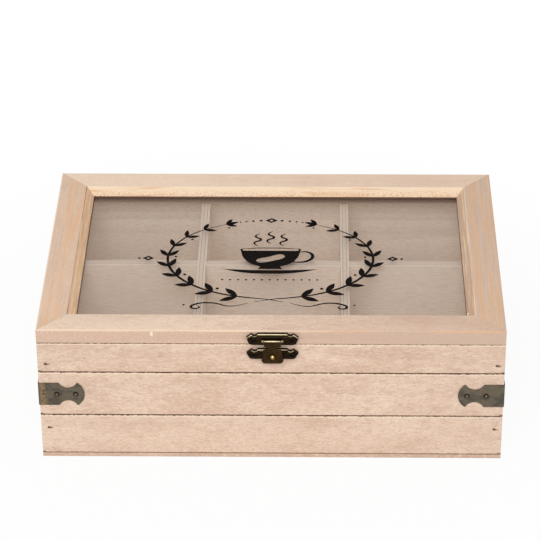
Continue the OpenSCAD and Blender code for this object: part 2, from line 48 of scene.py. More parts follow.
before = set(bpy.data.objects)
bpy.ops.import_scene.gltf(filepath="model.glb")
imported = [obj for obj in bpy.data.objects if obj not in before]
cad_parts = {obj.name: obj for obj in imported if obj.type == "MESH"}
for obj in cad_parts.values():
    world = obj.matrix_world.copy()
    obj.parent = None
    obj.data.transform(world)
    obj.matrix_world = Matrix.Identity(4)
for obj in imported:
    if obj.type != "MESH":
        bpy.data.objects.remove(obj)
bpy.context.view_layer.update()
MM = 0.001
IN_MM = 1000.0
X, Y, Z = 0, 1, 2

# ---- Places on the CAD parts, in millimetres ----

# The sides of the box: the axis that each runs along, and the way that its outer face looks.
SIDES = (("front", X, -1), ("back", X, 1), ("left", Y, -1), ("right", Y, 1))
# Dark marks beside the nails of the front and back walls, by row, and at their slats' corners.
WALL_FACE = 81.0
NAIL_X = 116.0
NAIL_MARKS = {"bottom": 18.3, "middle": 43.7, "top": 58.0}
CORNER_X = 119.4
MARK_SHIFT = 0.7
# The bevel round the window is this wide and as deep.
BEVEL = 4.0
# Pale knots in the rails: the rail, the knot's place and how far it is stretched.
KNOTS = (
    ("lid_rail_front", (-60.8, -81.0, 76.9), (0.9, 1.0, 1.6)),
    ("lid_rail_right", (101.5, -59.0, 75.5), (0.8, 1.2, 1.0)),
)
# The latch's middle, how far its screws are from there, and the lugs that carry its pin.
LATCH_X = 0.9
LATCH_SCREWS = 9.9
LUG_HEIGHT = 73.6
# Where the latch plates keep a sharp rim: middle X and Z, half width and half height.
SHARP = {
    "latch_lid_plate": (
        (LATCH_X - LATCH_SCREWS, 74.3, 2.2, 2.2), (LATCH_X + LATCH_SCREWS, 74.3, 2.2, 2.2),
        (LATCH_X, LUG_HEIGHT, 5.9, 2.3)),
    "latch_keeper_plate": (
        (LATCH_X - LATCH_SCREWS, 65.4, 2.2, 2.2), (LATCH_X + LATCH_SCREWS, 65.4, 2.2, 2.2),
        (LATCH_X, 64.9, 1.8, 1.8)),
}
# How far the pins of a corner strap are from its corner, and how thick it is.
STRAP_PINS = (9.0, 18.9)
STRAP_THICK = 0.5
# The print's middle, from the middle of the glass.
PRINT_OFFSET = (-1.5, -2.0)
# The floor lies this far under the box, so that the two faces don't meet in one plane.
FLOOR_GAP = 0.1

# ---- Fixed choices of the finishes and the stage ----

# How much of the rosy tone is in the ground of each row of slats.
ROSY_SHARE = {"bottom": 0.0, "middle": 0.10, "top": 0.32}
# The patterns of different pieces are moved apart along this direction.
SHIFT_WAY = (1.0, 1.7, -2.3)
# Edges between faces at more than the first angle are rounded, and the shading stays sharp at
# more than the second.
ROUNDED_FROM = radians(25)
SMOOTH_BELOW = radians(32)
# Points of a CAD mesh that are this near are one, and faces this level are one face.
MERGE_BELOW = 0.002 * MM
LEVEL_BELOW = radians(0.5)
# Roundings of the pins, the small latch parts and the hinges.
PIN_EDGE = 0.04 * MM
FINE_EDGE = 0.05 * MM
HINGE_EDGE = 0.08 * MM
# Widths of the floor and the key lamp, and where the lamp stands and looks, in metres.
FLOOR_SIZE = 8.0
KEY_SIZE = 0.7
KEY_PLACE = (-0.12, -1.0, 1.13)
KEY_AIM = (0.0, 0.0, 0.05)
SENSOR_WIDTH_MM = 36.0
NEAREST_SEEN = 0.01


def paint(red, green, blue):
    """A linear colour from the 0 to 255 values that a paint chart gives."""
    def linear(value):
        share = value / 255
        return share / 12.92 if share <= 0.04045 else ((share + 0.055) / 1.055) ** 2.4
    return (linear(red), linear(green), linear(blue))


def colour_property(name, description, red, green, blue):
    return FloatVectorProperty(
        name=name, description=description, default=paint(red, green, blue),
        subtype="COLOR", min=0.0, max=1.0, size=3,
    )


def length_property(name, description, millimetres):
    return FloatProperty(
        name=name, description=description, default=millimetres * MM,
        min=0.0, unit="LENGTH", subtype="DISTANCE", precision=5,
    )


# ---- Sizes and colours that a user would change ----


class TeaBoxWood(bpy.types.PropertyGroup):
    """Colours of the boards and how far their edges are worn."""

    pale: colour_property("Pale wood", "Whitewashed boards of the walls", 235, 207, 186)
    rosy: colour_property("Rosy clouds", "Darker clouds in the pale boards", 208, 171, 147)
    # Also the colour of the painted highlight along the slats' upper bevels.
    cream: colour_property("Cream clouds", "Lighter clouds in the pale boards", 247, 224, 199)
    rail: colour_property("Rail wood", "Front and back rails of the lid", 237, 210, 188)
    pine: colour_property("Pine", "Ground colour of the side rails", 226, 194, 168)
    resin: colour_property("Resin streaks", "Orange streaks in the side rails", 238, 182, 130)
    ash: colour_property("Ash streaks", "Grey streaks in the side rails", 200, 176, 158)
    # Also the colour of painted highlights along the bevel's top edge and the rails' outer top
    # edge.
    bevel: colour_property("Cut bevel", "Bevel round the window", 255, 229, 199)
    amber: colour_property("Amber specks", "Darker specks in the cut bevel", 226, 173, 122)
    # Painted lighter than the outer boards, standing in for the light that falls into the box.
    inner: colour_property("Inner wood", "Bare wood inside the box", 254, 239, 223)
    ply: colour_property("Plywood", "Faces of the dividers", 253, 235, 217)
    ply_core: colour_property("Plywood core", "Darker fibres of the bare wood", 222, 200, 180)
    ply_edge: colour_property("Plywood edge", "Layers on the divider edges", 229, 210, 193)
    # This colour also serves as painted shade: deep in the wall grooves, at their ends, along the
    # lid's lower edge and under the window bevel.
    dirt_and_shade: colour_property("Groove dirt", "Dark saw marks in the grooves", 104, 62, 34)
    soft_edge: length_property("Soft edge", "Rounding of the board edges", 0.15)


class TeaBoxMetal(bpy.types.PropertyGroup):
    """Colours of the metal fittings and how far their edges are rounded."""

    # Also the colour of painted shade: round the strap pins, at the rims of the pin heads, and on
    # the rail face behind the latch.
    bronze: colour_property("Bronze", "Dark ground of the latch and hinges", 22, 12, 5)
    umber: colour_property("Umber patina", "Browner clouds in the bronze", 60, 42, 20)
    # Used for wear and for the painted highlight on the upper front edges.
    worn_and_lit: colour_property("Worn edge", "Bright metal on the worn upper edges", 216, 200, 160)
    brass: colour_property("Brass", "Ball of the stud and the latch pin", 168, 136, 72)
    # A painted highlight on the crown of the stud's ball, also standing for a crown brightened by
    # handling.
    crown_highlight: colour_property("Polished brass", "Rubbed crown of the stud's ball", 236, 222, 186)
    pewter: colour_property("Pewter", "Ground colour of the corner straps", 112, 102, 86)
    slate: colour_property("Slate patina", "Cooler clouds in the straps", 88, 84, 74)
    ochre: colour_property("Ochre patina", "Patch near the bend of a strap", 160, 132, 94)
    rust: colour_property("Rust", "Brown rim of the straps", 88, 62, 42)
    # Also the colour of the painted highlight on the strap pins' domes.
    nail: colour_property("Nail", "Heads of the nails and pins", 122, 110, 92)
    latch_edge: length_property("Latch edge", "Rounding of the latch plates", 0.4)
    strap_edge: length_property("Strap edge", "Rounding of the corner straps", 0.15)


class TeaBoxPrint(bpy.types.PropertyGroup):
    """The ornament printed on the window, and the glass itself."""

    ink: colour_property("Ink", "Colour of the print", 30, 26, 25)
    tint: colour_property("Glass tint", "Colour of the glass", 222, 208, 194)
    ink_height: length_property("Ink height", "How far the ink stands on the glass", 0.05)
    wreath_width: length_property("Wreath width", "Half the width of the wreath", 55)
    wreath_depth: length_property("Wreath depth", "Half the depth of the wreath", 40)
    leaf_length: length_property("Leaf length", "Length of the largest leaves", 10.5)


class TeaBoxStage(bpy.types.PropertyGroup):
    """Lamps and camera."""

    distance: FloatProperty(
        name="Camera distance", description="From the camera to its target",
        default=1.37675, unit="LENGTH", subtype="DISTANCE", precision=5)
    azimuth: FloatProperty(
        name="Camera azimuth", description="Turn of the camera round the box",
        default=radians(1.197), unit="ROTATION", subtype="ANGLE")
    elevation: FloatProperty(
        name="Camera elevation", description="Angle above the horizon",
        default=radians(31.741), unit="ROTATION", subtype="ANGLE")
    roll: FloatProperty(
        name="Camera roll", description="Tilt of the picture",
        default=radians(-0.407), unit="ROTATION", subtype="ANGLE")
    target: FloatVectorProperty(
        name="Camera target", description="Point at the middle of the picture",
        default=(-1.80 * MM, 0.0, 65.36 * MM), unit="LENGTH", subtype="XYZ", size=3)
    lens: FloatProperty(
        name="Lens", description="Focal length in millimetres on a 36 mm sensor",
        default=170.4, min=1.0)
    sky: FloatProperty(
        name="Sky", description="Strength of the light from all round", default=0.6, min=0.0)
    key: FloatProperty(
        name="Key lamp", description="Power of the large lamp in front of the box",
        default=8.8, min=0.0, unit="POWER")


# ---- Shader maths ----


class Field:
    """A number, colour or vector that varies over a surface: one output of a shader node."""

    def __init__(self, nodes, socket):
        self.nodes = nodes
        self.socket = socket

    def maths(self, operation, *values):
        return self.nodes.node(
            "ShaderNodeMath", {"operation": operation}, dict(enumerate(values)))

    def __add__(self, other):
        return self.maths("ADD", self, other)

    def __radd__(self, other):
        return self.maths("ADD", other, self)

    def __sub__(self, other):
        return self.maths("SUBTRACT", self, other)

    def __rsub__(self, other):
        return self.maths("SUBTRACT", other, self)

    def __mul__(self, other):
        return self.maths("MULTIPLY", self, other)

    def __rmul__(self, other):
        return self.maths("MULTIPLY", other, self)

    def __abs__(self):
        return self.maths("ABSOLUTE", self)

    def most(self, other):
        return self.maths("MAXIMUM", self, other)

    def step(self, low, high):
        """0 below low and 1 above high, with a soft step between; low may be the larger."""
        return self.nodes.node(
            "ShaderNodeMapRange", {"interpolation_type": "SMOOTHSTEP"},
            {"Value": self, "From Min": low, "From Max": high})


class NodeTree:
    """The nodes of a material or of the world."""

    def __init__(self, tree):
        self.tree = tree

    def feed(self, socket, value):
        """Links a field to a socket, or sets the socket to a constant."""
        if isinstance(value, Field):
            self.tree.links.new(value.socket, socket)
        elif socket.type == "RGBA" and len(value) == 3:
            socket.default_value = (*value, 1.0)
        else:
            socket.default_value = value

    def node(self, kind, settings=None, inputs=None, output=0):
        """Adds a node: its settings are made first, then its sockets get their values or links."""
        node = self.tree.nodes.new(kind)
        for name, value in (settings or {}).items():
            setattr(node, name, value)
        for name, value in (inputs or {}).items():
            self.feed(node.inputs[name], value)
        return Field(self, node.outputs[output])

    def seen(self):
        """1 where a ray comes from the camera, straight or by gloss or glass, and 0 for others."""
        camera, glossy, through = (
            self.node("ShaderNodeLightPath", output=name)
            for name in ("Is Camera Ray", "Is Glossy Ray", "Is Transmission Ray"))
        return camera.most(glossy).most(through)


class Finish(NodeTree):
    """A material being made. Patterns are read in millimetres, in the part's own frame."""

    def __init__(self, name, shift=0.0):
        self.material = bpy.data.materials.new(name)
        self.material.use_nodes = True
        super().__init__(self.material.node_tree)
        self.surface = self.tree.nodes["Principled BSDF"]
        place = self.node("ShaderNodeTexCoord", output="Object")
        self.place = self.vector("SCALE", place, {"Scale": IN_MM})
        self.shifted = self.vector("ADD", self.place, {1: [shift * way for way in SHIFT_WAY]})
        self.axes = [self.part(self.place, axis) for axis in (X, Y, Z)]

    def vector(self, operation, first, others):
        return self.node("ShaderNodeVectorMath", {"operation": operation}, {0: first, **others})

    def part(self, vector, axis):
        """One of the three numbers of a vector."""
        return self.node("ShaderNodeSeparateXYZ", inputs={"Vector": vector}, output=axis)

    def length(self, vector):
        return self.node(
            "ShaderNodeVectorMath", {"operation": "LENGTH"}, {0: vector}, output="Value")

    def mix(self, share, first, second):
        """A colour between two others; share is 0 for the first and 1 for the second."""
        return self.node(
            "ShaderNodeMix", {"data_type": "RGBA"}, {0: share, 6: first, 7: second}, output=2)

    def coats(self, ground, *rows):
        """Lays colours over a ground, one by one.

        A row holds a field, its value where the coat begins, its value where the coat is full,
        the full coat's share, and its colour.
        """
        for field, begins, full, share, colour in rows:
            ground = self.mix(field.step(begins, full) * share, ground, colour)
        return ground

    def noise(self, size, detail=2.0, roughness=0.5, warp=0.0):
        """Noise whose patches are about this large along X, Y and Z, in millimetres."""
        place = self.vector("DIVIDE", self.shifted, {1: size})
        return self.node(
            "ShaderNodeTexNoise", inputs={
                "Vector": place, "Scale": 1.0, "Detail": detail,
                "Roughness": roughness, "Distortion": warp})

    def near(self, point, reach, soft, stretch):
        """1 within reach of a point in millimetres and 0 beyond reach and soft."""
        offset = self.vector("SUBTRACT", self.place, {1: point})
        offset = self.vector("DIVIDE", offset, {1: stretch})
        return self.length(offset).step(reach + soft, reach)

    def facing(self, axis):
        """How far the surface faces along an axis of the part, from -1 to 1."""
        return self.part(self.node("ShaderNodeTexCoord", output="Normal"), axis)

    def finished(self, colour, roughness, height=None, depth=0.1, **constants):
        """Feeds the shader and returns the material; depth is the relief in millimetres."""
        self.feed(self.surface.inputs["Base Color"], colour)
        self.feed(self.surface.inputs["Roughness"], roughness)
        if height is not None:
            relief = self.node("ShaderNodeBump", inputs={
                "Strength": 1.0, "Distance": depth * MM, "Height": height}, output="Normal")
            self.feed(self.surface.inputs["Normal"], relief)
        for name, value in constants.items():
            self.feed(self.surface.inputs[name.replace("_", " ")], value)
        return self.material


# ---- Finishes ----


def looks(group):
    return getattr(bpy.context.scene, "tea_box_" + group)


def blend(share, first, second):
    """One colour between two others, the same all over."""
    return tuple(a + (b - a) * share for a, b in zip(first, second))


def along(axis, length, across):
    """Size of a patch of grain that runs along one axis."""
    size = [across] * 3
    size[axis] = length
    return size


def span(node, axis):
    """Lowest and highest place of a CAD node on one axis, in millimetres."""
    low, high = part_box(node)
    return low[axis] * IN_MM, high[axis] * IN_MM


def from_face(finish, node, axis, outside):
    """Distance from a CAD node's low face (outside is -1) or high face (1) on an axis."""
    face = span(node, axis)[0 if outside < 0 else 1]
    return abs(finish.axes[axis] - face)


def pale_board(finish, axis, ground):
    """Whitewashed grain along an axis: clouds, light hairlines, short fibres, and its relief."""
    wood = looks("wood")
    clouds = finish.noise(along(axis, 38, 16), 2.0, 0.5)
    patches = finish.noise(along(axis, 6, 2.6), 3.0, 0.65)
    hairs = finish.noise(along(axis, 8, 0.5), 2.0, 0.65)
    fibres = finish.noise(along(axis, 2.2, 0.35), 2.0, 0.6)
    fuzz = finish.noise(along(axis, 0.9, 0.6), 2.0, 0.7)
    specks = finish.noise(along(axis, 1.6, 0.8), 1.0)
    colour = finish.coats(
        ground,
        (clouds, 0.47, 0.66, 0.55, wood.rosy),
        (clouds, 0.46, 0.30, 0.50, wood.cream),
        (patches, 0.50, 0.66, 0.48, wood.rosy),
        (patches, 0.46, 0.32, 0.45, wood.cream),
        (hairs, 0.50, 0.72, 0.60, wood.cream),
        (hairs, 0.46, 0.26, 0.45, wood.rosy),
        (fibres, 0.50, 0.68, 0.65, wood.cream),
        (fibres, 0.48, 0.32, 0.65, wood.rosy),
        (fuzz, 0.46, 0.66, 0.40, wood.rosy),
        (specks, 0.765, 0.80, 0.55, wood.dirt_and_shade))
    return colour, hairs * 0.5 + fibres * 0.5


def slat_finish(node, axis, outside, shift):
    """A wall slat: pale outside, bare inside and painted lighter there, with dark rough saw marks
    and painted shade in its grooves and a painted highlight along its upper bevel.
    """
    wood = looks("wood")
    finish = Finish(node, shift)
    row = node.rpartition("_")[2]
    colour, height = pale_board(finish, axis, blend(ROSY_SHARE[row], wood.pale, wood.rosy))
    depth = from_face(finish, node, 1 - axis, outside)
    threads = finish.noise(along(axis, 3.5, 0.6), 3.0, 0.7)
    # The bare inside is painted lighter than the outside, standing in for the light inside the
    # box.
    bare = finish.coats(wood.inner, (threads, 0.49, 0.58, 0.45, wood.ply_core))
    colour = finish.mix(depth.step(1.5, 3.0), colour, bare)
    floor, roof = span(node, Z)
    outer = depth.step(1.4, 1.1)
    ragged = finish.noise(along(axis, 1.7, 0.7), 2.0, 0.75) - 0.5
    uneven = finish.noise(along(axis, 30, 8), 1.0)
    above = finish.axes[Z] - floor + ragged * 0.9
    below = roof - finish.axes[Z] + ragged * 1.1
    # Painted highlight: a cream band along the slat's upper bevel, which faces the light, just
    # below the groove.
    colour = finish.coats(colour, (below, 1.3, 0.8, outer * 0.75, wood.cream))
    # Dark saw marks and painted shade in the groove: the slat's lower bevel and the deepest part
    # of its upper bevel are darkened, with ragged edges.
    groove_marks_and_shade = above.step(0.72, 0.52).most(below.step(0.42, 0.22))
    colour = finish.mix(groove_marks_and_shade * outer * (uneven * 0.6 + 0.72), colour, wood.dirt_and_shade)
    if axis == X:
        for side in (-1, 1):
            # Beside each nail a dark stain; at each slat corner a wedge of painted shade where the
            # groove opens at its end.
            hole = (side * NAIL_X + MARK_SHIFT, outside * WALL_FACE, NAIL_MARKS[row])
            corner = (side * CORNER_X, outside * WALL_FACE, floor + MARK_SHIFT)
            stain = finish.near(hole, 0.4, 0.9, (1.7, 1.0, 0.7))
            groove_end_shade = finish.near(corner, 0.3, 1.0, (1.6, 1.0, 0.7))
            colour = finish.mix(stain.most(groove_end_shade) * (ragged * 2.0 + 0.7), colour, wood.dirt_and_shade)
    return finish.finished(colour, 0.62 + 0.14 * height, height, 0.12)


def side_rail_wood(finish, colour, outside):
    """Streaked pine for the left and right rails; the right one is greyer, with amber bands."""
    wood = looks("wood")
    flames = finish.noise(along(Y, 80, 2.2), 2.0, 0.6, 0.5)
    veins = finish.noise(along(Y, 45, 1.1), 3.0, 0.65, 0.3)
    colour = finish.coats(
        finish.mix(0.6, colour, wood.pine),
        (flames, 0.48, 0.64, 0.50, wood.resin),
        (veins, 0.52, 0.66, 0.40, wood.ash),
        (veins, 0.46, 0.34, 0.30, wood.resin))
    if outside > 0:
        bands = finish.noise(along(Y, 60, 1.6), 3.0, 0.6, 0.4)
        colour = finish.mix(0.30 + bands.step(0.46, 0.60) * 0.35, colour, wood.ash)
        colour = finish.coats(colour, (bands, 0.49, 0.38, 0.75, wood.amber))
    return colour


def long_rail_wood(finish, colour, outside, inward, low):
    """Front and back rails, from cream to rosy, with a duller outer face and painted shade along
    their lower edge, where the lid meets the box.
    """
    wood = looks("wood")
    across = finish.axes[X]
    colour = finish.coats(
        colour, (across, -40.0, 80.0, 0.42, wood.rosy), (across, 10.0, -70.0, 0.35, wood.cream))
    if outside > 0:
        colour = finish.mix(0.4, colour, wood.cream)
    fuzz = finish.noise(along(X, 0.9, 0.6), 2.0, 0.7)
    right = across.step(-30.0, 60.0)
    face = finish.coats(wood.rosy, (fuzz, 0.36, 0.72, 0.7, wood.pale))
    face = finish.mix(right * 0.45, face, wood.ash)
    colour = finish.coats(colour, (inward, 0.35, 0.2, 0.85, face))
    # Painted shade along the rail's bottom edge on its outer face, where the lid meets the box;
    # weaker towards the right.
    seam_shade = (finish.axes[Z] - low).step(0.45, 0.2) * inward.step(0.7, 0.5)
    return finish.mix(seam_shade * (0.7 - 0.35 * right), colour, wood.dirt_and_shade)


def bevel_wood(finish, axis, outside, from_window):
    """The cut bevel: pale end grain with amber grit, stained and streaked along the side rails."""
    wood = looks("wood")
    grit = finish.noise(along(axis, 0.9, 0.35), 2.0, 0.7)
    wavy = finish.noise(along(axis, 30, 1.6), 2.0)
    cut = finish.coats(
        wood.bevel,
        (wavy, 0.50, 0.70, 0.6, wood.amber),
        (grit, 0.50, 0.62, from_window.step(BEVEL, 0.5), wood.amber),
        (grit, 0.62, 0.70, from_window.step(2.5, 0.3) * 0.5, wood.dirt_and_shade))
    if axis == Y:
        stained = finish.noise(along(Y, 18, 1.4), 3.0, 0.6)
        glints = finish.noise(along(Y, 25, 0.8), 2.0, 0.6)
        cut = finish.coats(
            finish.mix(0.55, cut, wood.amber),
            (glints, 0.55, 0.65, 0.6, wood.bevel),
            (glints, 0.45, 0.35, 0.5, wood.amber))
        if outside > 0:
            cut = finish.coats(
                cut,
                (glints, 0.60, 0.45, 0.65, wood.ash),
                (finish.axes[Y], 20.0, -50.0, 0.14, wood.dirt_and_shade))
        cut = finish.coats(cut, (stained, 0.46, 0.66, 0.40, wood.ash))
    return cut


def rail_finish(node, axis, outside, shift):
    """A lid rail with its bevel, a line along the bevel's top edge that is dark on the left rail
    and a painted highlight on the others, and painted shade on the inner face below the bevel.
    """
    wood = looks("wood")
    finish = Finish(node, shift)
    colour, height = pale_board(finish, axis, wood.rail)
    inward = from_face(finish, node, 1 - axis, outside)
    near, far = span(node, 1 - axis)
    from_window = far - near - inward
    low, high = span(node, Z)
    level = finish.axes[Z]
    if axis == Y:
        colour = side_rail_wood(finish, colour, outside)
    else:
        colour = long_rail_wood(finish, colour, outside, inward, low)
    upper = level.step((low + high) / 2 - 0.2, (low + high) / 2)
    on_bevel = from_window.step(BEVEL + 0.15, BEVEL - 0.05) * upper
    colour = finish.mix(on_bevel, colour, bevel_wood(finish, axis, outside, from_window))
    # A broken line along the bevel's top edge: dark on the left rail, and on the others a painted
    # highlight in the bevel colour.
    edge = from_window.step(BEVEL - 0.3, BEVEL - 0.05) * upper
    edge = edge * from_window.step(BEVEL + 0.45, BEVEL + 0.2)
    edge = edge * finish.noise(along(axis, 40, 2), 2.0, 0.7).step(0.30, 0.60)
    dark_edge = node == "lid_rail_left"
    colour = finish.mix(edge * 0.75, colour, wood.dirt_and_shade if dark_edge else wood.bevel)
    # Painted shade on the inner face below the bevel, down to near the rail's bottom, for the
    # shade between the bevel and the glass.
    lip_shade = from_window.step(3.3, 3.1) * level.step(high - BEVEL + 0.1, high - BEVEL - 0.1)
    lip_shade = lip_shade * level.step(low + 0.05, low + 0.15)
    colour = finish.mix(lip_shade * 0.9, colour, wood.dirt_and_shade)
    # Painted highlight along the outer top edge, in broken streaks, cream on the left and warmer
    # orange towards the right.
    arris_highlight = inward.step(0.9, 0.4) * level.step(high - 0.8, high - 0.4)
    arris_highlight = arris_highlight * finish.noise(along(axis, 40, 3), 2.0).step(0.36, 0.54)
    warm = finish.mix(finish.axes[X].step(10.0, 40.0), wood.bevel, wood.resin)
    colour = finish.mix(arris_highlight * 0.6, colour, warm)
    if node == "lid_rail_front":
        # Painted shade: the wood seen through the latch's window is darkened with the latch
        # metal's dark colour.
        latch_window_shade = abs(finish.axes[X] - LATCH_X).step(4.7, 4.3)
        latch_window_shade = latch_window_shade * abs(level - 74.2).step(2.1, 1.7) * inward.step(1.0, 0.5)
        colour = finish.mix(latch_window_shade, colour, looks("metal").bronze)
    for knot_node, place, stretch in KNOTS:
        if knot_node == node:
            knot = finish.near(place, 0.75, 0.35, stretch)
            colour = finish.mix(knot * 0.9, colour, wood.bevel)
    return finish.finished(colour, 0.60 + 0.14 * height, height, 0.1)


def board_finish(node, shift):
    """The bottom board, a little duller than the walls."""
    wood = looks("wood")
    finish = Finish(node, shift)
    colour, height = pale_board(finish, X, blend(0.5, wood.rosy, wood.ash))
    return finish.finished(colour, 0.7, height, 0.1)


def ply_finish(node, axis, shift):
    """Plywood: fine grain on the faces, and pale layers with dark glue lines on the top edge."""
    wood = looks("wood")
    finish = Finish(node, shift)
    fibres = finish.noise(along(axis, 6, 0.5), 3.0, 0.65)
    clouds = finish.noise(along(axis, 30, 9), 2.0)
    streaks = finish.noise(along(axis, 9, 0.35), 2.0, 0.6)
    face = finish.coats(
        wood.ply,
        (fibres, 0.48, 0.60, 0.5, wood.ply_core),
        (clouds, 0.45, 0.25, 0.4, wood.cream))
    low, high = span(node, 1 - axis)
    across = abs(finish.axes[1 - axis] - (low + high) / 2)
    layers = finish.coats(
        wood.ply_edge,
        (streaks, 0.44, 0.68, 0.4, wood.ply_core),
        (across, 1.15, 1.0, 0.35, wood.ash),
        (across, 0.80, 0.98, across.step(1.32, 1.14) * 0.55, wood.dirt_and_shade))
    colour = finish.mix(finish.facing(Z).step(0.5, 0.8), face, layers)
    return finish.finished(colour, 0.66, fibres, 0.08)


def glass_finish():
    """Clear glass with a faint grey veil, a little uneven as if wiped."""
    finish = Finish("window_glass", 5.0)
    smears = finish.noise((40, 24, 40), 3.0, 0.5)
    return finish.finished(looks("print").tint, 0.03, Alpha=0.09 + 0.05 * smears)


def ink_finish():
    """Near-black print, slightly browner where it is thin."""
    ink = looks("print").ink
    finish = Finish("window_ink", 3.0)
    thin = finish.noise((2.5, 2.5, 2.5), 3.0, 0.6)
    brown = [1.9 * value for value in ink]
    colour = finish.coats(ink, (thin, 0.5, 0.75, 0.6, brown))
    return finish.finished(colour, 0.5 + 0.2 * thin, thin, 0.01, Specular_IOR_Level=0.0)


def strap_finish(node, side, end, shift):
    """Dull antique pewter in cool and warm clouds, with rust along the rim and painted shade round
    the pins.
    """
    metal = looks("metal")
    finish = Finish(node, shift)
    clouds = finish.noise((6, 6, 4), 3.0, 0.6)
    grain = finish.noise((0.8, 0.8, 0.6), 2.0, 0.65)
    colour = finish.coats(
        metal.pewter,
        (clouds, 0.44, 0.60, 1.0, metal.slate),
        (grain, 0.50, 0.70, 0.5, metal.rust))
    reach = [from_face(finish, node, X, side), from_face(finish, node, Y, end)]
    if (side, end) == (-1, -1):
        torn = finish.noise((1.6, 1.6, 2.4), 3.0, 0.6)
        stain = finish.noise((1.2, 1.2, 2.0), 3.0, 0.6)
        from_corner = reach[X].most(reach[Y])
        bend = from_corner + (torn - 0.5) * 10.0
        patchy = stain.step(0.34, 0.50) * from_corner.step(0.3, 1.4)
        colour = finish.coats(
            colour,
            (bend, 5.0, 2.4, patchy * 0.8, metal.ochre),
            (bend, 6.5, 3.5, stain.step(0.54, 0.66) * 0.7, metal.rust))
    # Painted shade: a nearly black disc round each pin, over the sunk hole in which its head sits.
    middle = sum(span(node, Z)) / 2
    for pin in STRAP_PINS:
        for axis in (X, Y):
            on_leg = reach[1 - axis].step(2.0, 1.5)
            beside, over = reach[axis] - pin - STRAP_THICK, finish.axes[Z] - middle
            squared = (beside * beside + over * over) * on_leg
            squared = squared + (1.0 - on_leg) * 9.0
            colour = finish.coats(colour, (squared, 3.0, 1.8, 0.85, metal.bronze))
    rim = abs(finish.facing(Z)).most(finish.facing(X) * -side).most(finish.facing(Y) * -end)
    colour = finish.coats(colour, (rim, 0.25, 0.60, 0.8, metal.rust))
    return finish.finished(colour, 0.46 + 0.18 * grain, grain, 0.03, Metallic=0.75)


def bronze_finish(name, shift, worn_and_lit, umber=0.4, narrow=0.0):
    """Dark antique metal, with wear and a painted highlight on its upper front edges.

    The third argument is how bright the edges' wear and painted highlight are, umber how brown the
    ground is, and narrow thins the edges.
    """
    metal = looks("metal")
    finish = Finish(name, shift)
    clouds = finish.noise((3.4, 3.4, 2.4), 3.0, 0.6)
    grain = finish.noise((0.5, 0.5, 0.5), 2.0, 0.6)
    broken = finish.noise((2.2, 2.2, 2.2), 2.0, 0.6)
    colour = finish.mix(clouds.step(0.46, 0.62) * 0.3 + umber, metal.bronze, metal.umber)
    colour = finish.coats(colour, (grain, 0.55, 0.75, 0.10, metal.worn_and_lit))
    # Painted highlight, with some wear: edges that face up and to the front get the bright metal
    # colour.
    front = finish.facing(Y)
    upper = finish.facing(Z) * front * front * 2.6
    bright = upper.step(0.42 + narrow, 0.70 + narrow) * front.step(0.0, -0.2)
    bright = bright * broken.step(0.18, 0.36) * worn_and_lit
    # The painted highlight is weaker round the lugs that carry the pin.
    if name == "latch_lid_plate":
        lugs = abs(finish.axes[Z] - LUG_HEIGHT).step(1.7, 1.4)
        bright = bright * (1.0 - 0.65 * lugs)
    colour = finish.mix(bright, colour, metal.worn_and_lit)
    roughness = 0.42 + 0.14 * grain - 0.12 * bright
    return finish.finished(colour, roughness, grain, 0.02, Metallic=0.96)


def brass_finish(name, shift, lit_crown):
    """Polished brass, darker where grime has settled; the last argument is 1 for a painted
    highlight on the ball's crown, also standing for a crown brightened by handling, else 0.
    """
    metal = looks("metal")
    finish = Finish(name, shift)
    tarnish = finish.noise((1.1, 1.1, 1.1), 3.0, 0.6)
    dirty = tarnish.step(0.42, 0.62) * 0.6 + 0.4 * (1.0 - lit_crown)
    # Painted highlight on the part of the ball that faces up and to the front.
    crown = finish.facing(Z) * 0.45 - finish.facing(Y) * 0.89
    colour = finish.coats(
        finish.mix(dirty, metal.brass, metal.umber), (crown, 0.93, 0.99, lit_crown, metal.crown_highlight))
    return finish.finished(colour, 0.22 + 0.2 * tarnish, Metallic=1.0)


def nail_finish():
    """Brown, slightly rusty steel."""
    metal = looks("metal")
    finish = Finish("nail_heads", 2.0)
    spots = finish.noise((0.5, 0.5, 0.5), 3.0, 0.6)
    colour = finish.coats(metal.nail, (spots, 0.46, 0.64, 0.7, metal.rust))
    return finish.finished(colour, 0.5 + 0.2 * spots, spots, 0.02, Metallic=0.7)


def pin_finish():
    """Strap pins: a painted highlight on the middle of each dome, lighter on its lower half, and
    painted shade, nearly black, at its rim.
    """
    metal = looks("metal")
    finish = Finish("strap_pins", 7.0)
    spots = finish.noise((0.5, 0.5, 0.5), 3.0, 0.6)
    # Painted highlight where the dome faces straight out, a little below its middle; painted shade
    # on the rest of the pin.
    outward = abs(finish.facing(X)).most(abs(finish.facing(Y))) - finish.facing(Z) * 0.08
    colour = finish.coats(
        metal.bronze,
        (outward, 0.955, 0.992, 1.0, metal.nail),
        (spots, 0.50, 0.68, 0.5, metal.rust))
    return finish.finished(colour, 0.32 + 0.25 * spots, spots, 0.02, Metallic=0.85)


# ---- Softened copies of the CAD parts ----


def plain_copy(node, name):
    """A piece of its own with the mesh of a CAD node, merged and freed of its flat inner edges."""
    piece = bpy.data.objects.new(name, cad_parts[node].data.copy())
    bpy.context.scene.collection.objects.link(piece)
    piece.data.materials.clear()
    bpy.ops.object.select_all(action="DESELECT")
    piece.select_set(True)
    bpy.context.view_layer.objects.active = piece
    bpy.ops.object.mode_set(mode="EDIT")
    bpy.ops.mesh.select_all(action="SELECT")
    bpy.ops.mesh.remove_doubles(threshold=MERGE_BELOW)
    bpy.ops.mesh.dissolve_limited(angle_limit=LEVEL_BELOW)
    bpy.ops.mesh.select_all(action="DESELECT")
    bpy.ops.object.mode_set(mode="OBJECT")
    return piece


